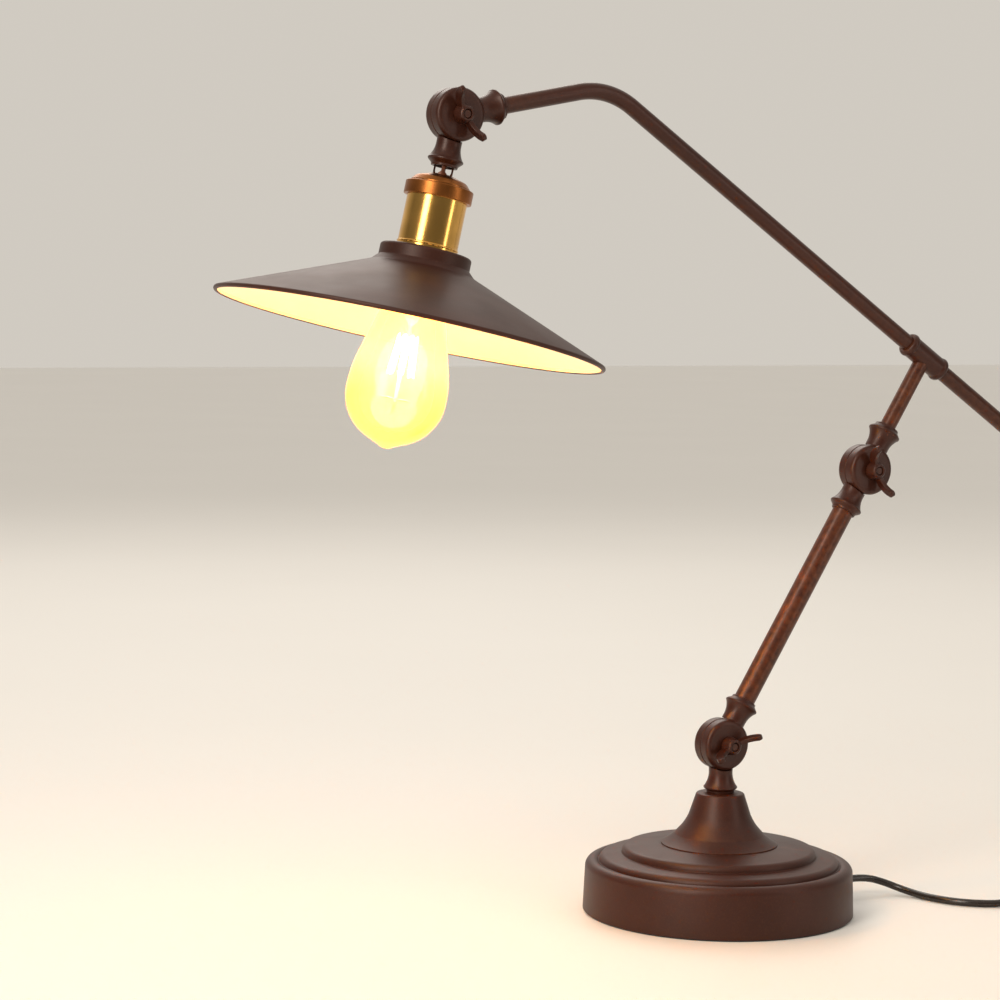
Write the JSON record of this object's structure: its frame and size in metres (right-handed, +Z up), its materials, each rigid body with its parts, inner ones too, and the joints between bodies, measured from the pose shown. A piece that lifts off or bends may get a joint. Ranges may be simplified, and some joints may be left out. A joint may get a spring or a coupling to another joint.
{
  "type": "desk lamp",
  "caption": "Jointed desk lamp with a round weighted base, lower arm, long bent bar on a sleeve, wing-nut knuckles, wide cone shade, brass socket and filament bulb.",
  "frame": {"origin": "centre of the base's underside, on the surface that the lamp stands on", "axes": "+Z up; the arms swing in the XZ plane with the shade towards -X and the cord leaving towards +X; the wing nuts face -Y"},
  "size_m": [0.7149, 0.3018, 0.5552],
  "materials": {
    "base_paint": "matte dark bronze paint with a fine grain",
    "arm_paint": "satin dark bronze paint",
    "shade_paint": "dark bronze outside, white enamel inside",
    "wing_paint": "satin dark bronze, worn on the edges",
    "iron": "raw casting",
    "steel": "zinc plated",
    "washer": "fibre-reinforced rubber",
    "felt": "pressed felt",
    "brass": "polished",
    "dark_brass": "satin",
    "ceramic": "glazed ceramic",
    "bulb_glass": "clear amber",
    "stem_glass": "clear",
    "filament": "glowing wire",
    "cord": "smooth black jacket",
    "switch": "moulded black",
    "rocker": "moulded black",
    "pins": "nickel plated"
  },
  "bodies": {
    "base": {"base_shell": "base_paint", "base_weight": "iron", "bottom_cover": "steel", "cover_screws": "steel", "felt_pad": "felt", "cone_riser": "base_paint", "threaded_tube": "steel", "tube_washer": "steel", "tube_nut": "steel", "base_knuckle": "arm_paint", "base_friction_washer": "washer", "base_pivot_bolt": "steel", "cord_gland": "cord", "base_lead": "cord", "cord_lead": "cord", "cord_link": "cord", "cord_coil": "cord", "switch_base": "switch", "switch_cover": "switch", "plug_body": "switch", "plug_pins": "pins"},
    "lower_arm": {"arm_foot_knuckle": "arm_paint", "lower_tube": "arm_paint", "arm_head_knuckle": "arm_paint", "elbow_pivot_bolt": "steel", "elbow_friction_washer": "washer"},
    "upper_arm": {"elbow_knuckle": "arm_paint", "short_tube": "arm_paint", "tee_sleeve": "arm_paint", "tee_grub_screw": "steel", "long_bar": "arm_paint", "bar_end_cap": "arm_paint", "bar_knuckle": "arm_paint"},
    "head": {"head_knuckle": "arm_paint", "head_pivot_bolt": "steel", "head_friction_washer": "washer", "vented_neck": "brass", "vent_nut": "steel", "head_lead": "cord", "socket_cap": "dark_brass", "socket_shell": "brass", "socket_insert": "ceramic", "thread_shell": "brass", "centre_contact": "brass", "shade_ring": "steel", "shade": "shade_paint", "bulb_cap": "brass", "bulb_glass": "bulb_glass", "bulb_stem": "stem_glass", "filament": "filament", "filament_spokes": "filament"},
    "base_wing": {"base_wing_nut": "wing_paint"},
    "elbow_wing": {"elbow_wing_nut": "wing_paint"},
    "head_wing": {"head_wing_nut": "wing_paint"},
    "rocker": {"switch_rocker": "rocker"}
  },
  "joints": [
    {"name": "base_tilt", "type": "hinge", "parent": "base", "child": "lower_arm", "pos_m": [0, 0, 0.1152], "axis": [0, 1, 0], "range_deg": [-25, 30]},
    {"name": "elbow_tilt", "type": "hinge", "parent": "lower_arm", "child": "upper_arm", "pos_m": [0.11466, 0, 0.29955], "axis": [0, 1, 0], "range_deg": [-25, 40]},
    {"name": "shade_tilt", "type": "hinge", "parent": "upper_arm", "child": "head", "pos_m": [-0.21393, 0, 0.53055], "axis": [0, 1, 0], "range_deg": [-50, 75]},
    {"name": "base_wing_turn", "type": "hinge", "parent": "base", "child": "base_wing", "pos_m": [0, 0, 0.1152], "axis": [0, 1, 0], "range_deg": [0, 180]},
    {"name": "elbow_wing_turn", "type": "hinge", "parent": "lower_arm", "child": "elbow_wing", "pos_m": [0.11466, 0, 0.29955], "axis": [0, 1, 0], "range_deg": [0, 180]},
    {"name": "head_wing_turn", "type": "hinge", "parent": "head", "child": "head_wing", "pos_m": [-0.21393, 0, 0.53055], "axis": [0, 1, 0], "range_deg": [0, 180]},
    {"name": "switch_rock", "type": "hinge", "parent": "base", "child": "rocker", "pos_m": [0.24, -0.08, 0.0153], "axis": [0, 1, 0], "range_deg": [-14, 0]}
  ]
}
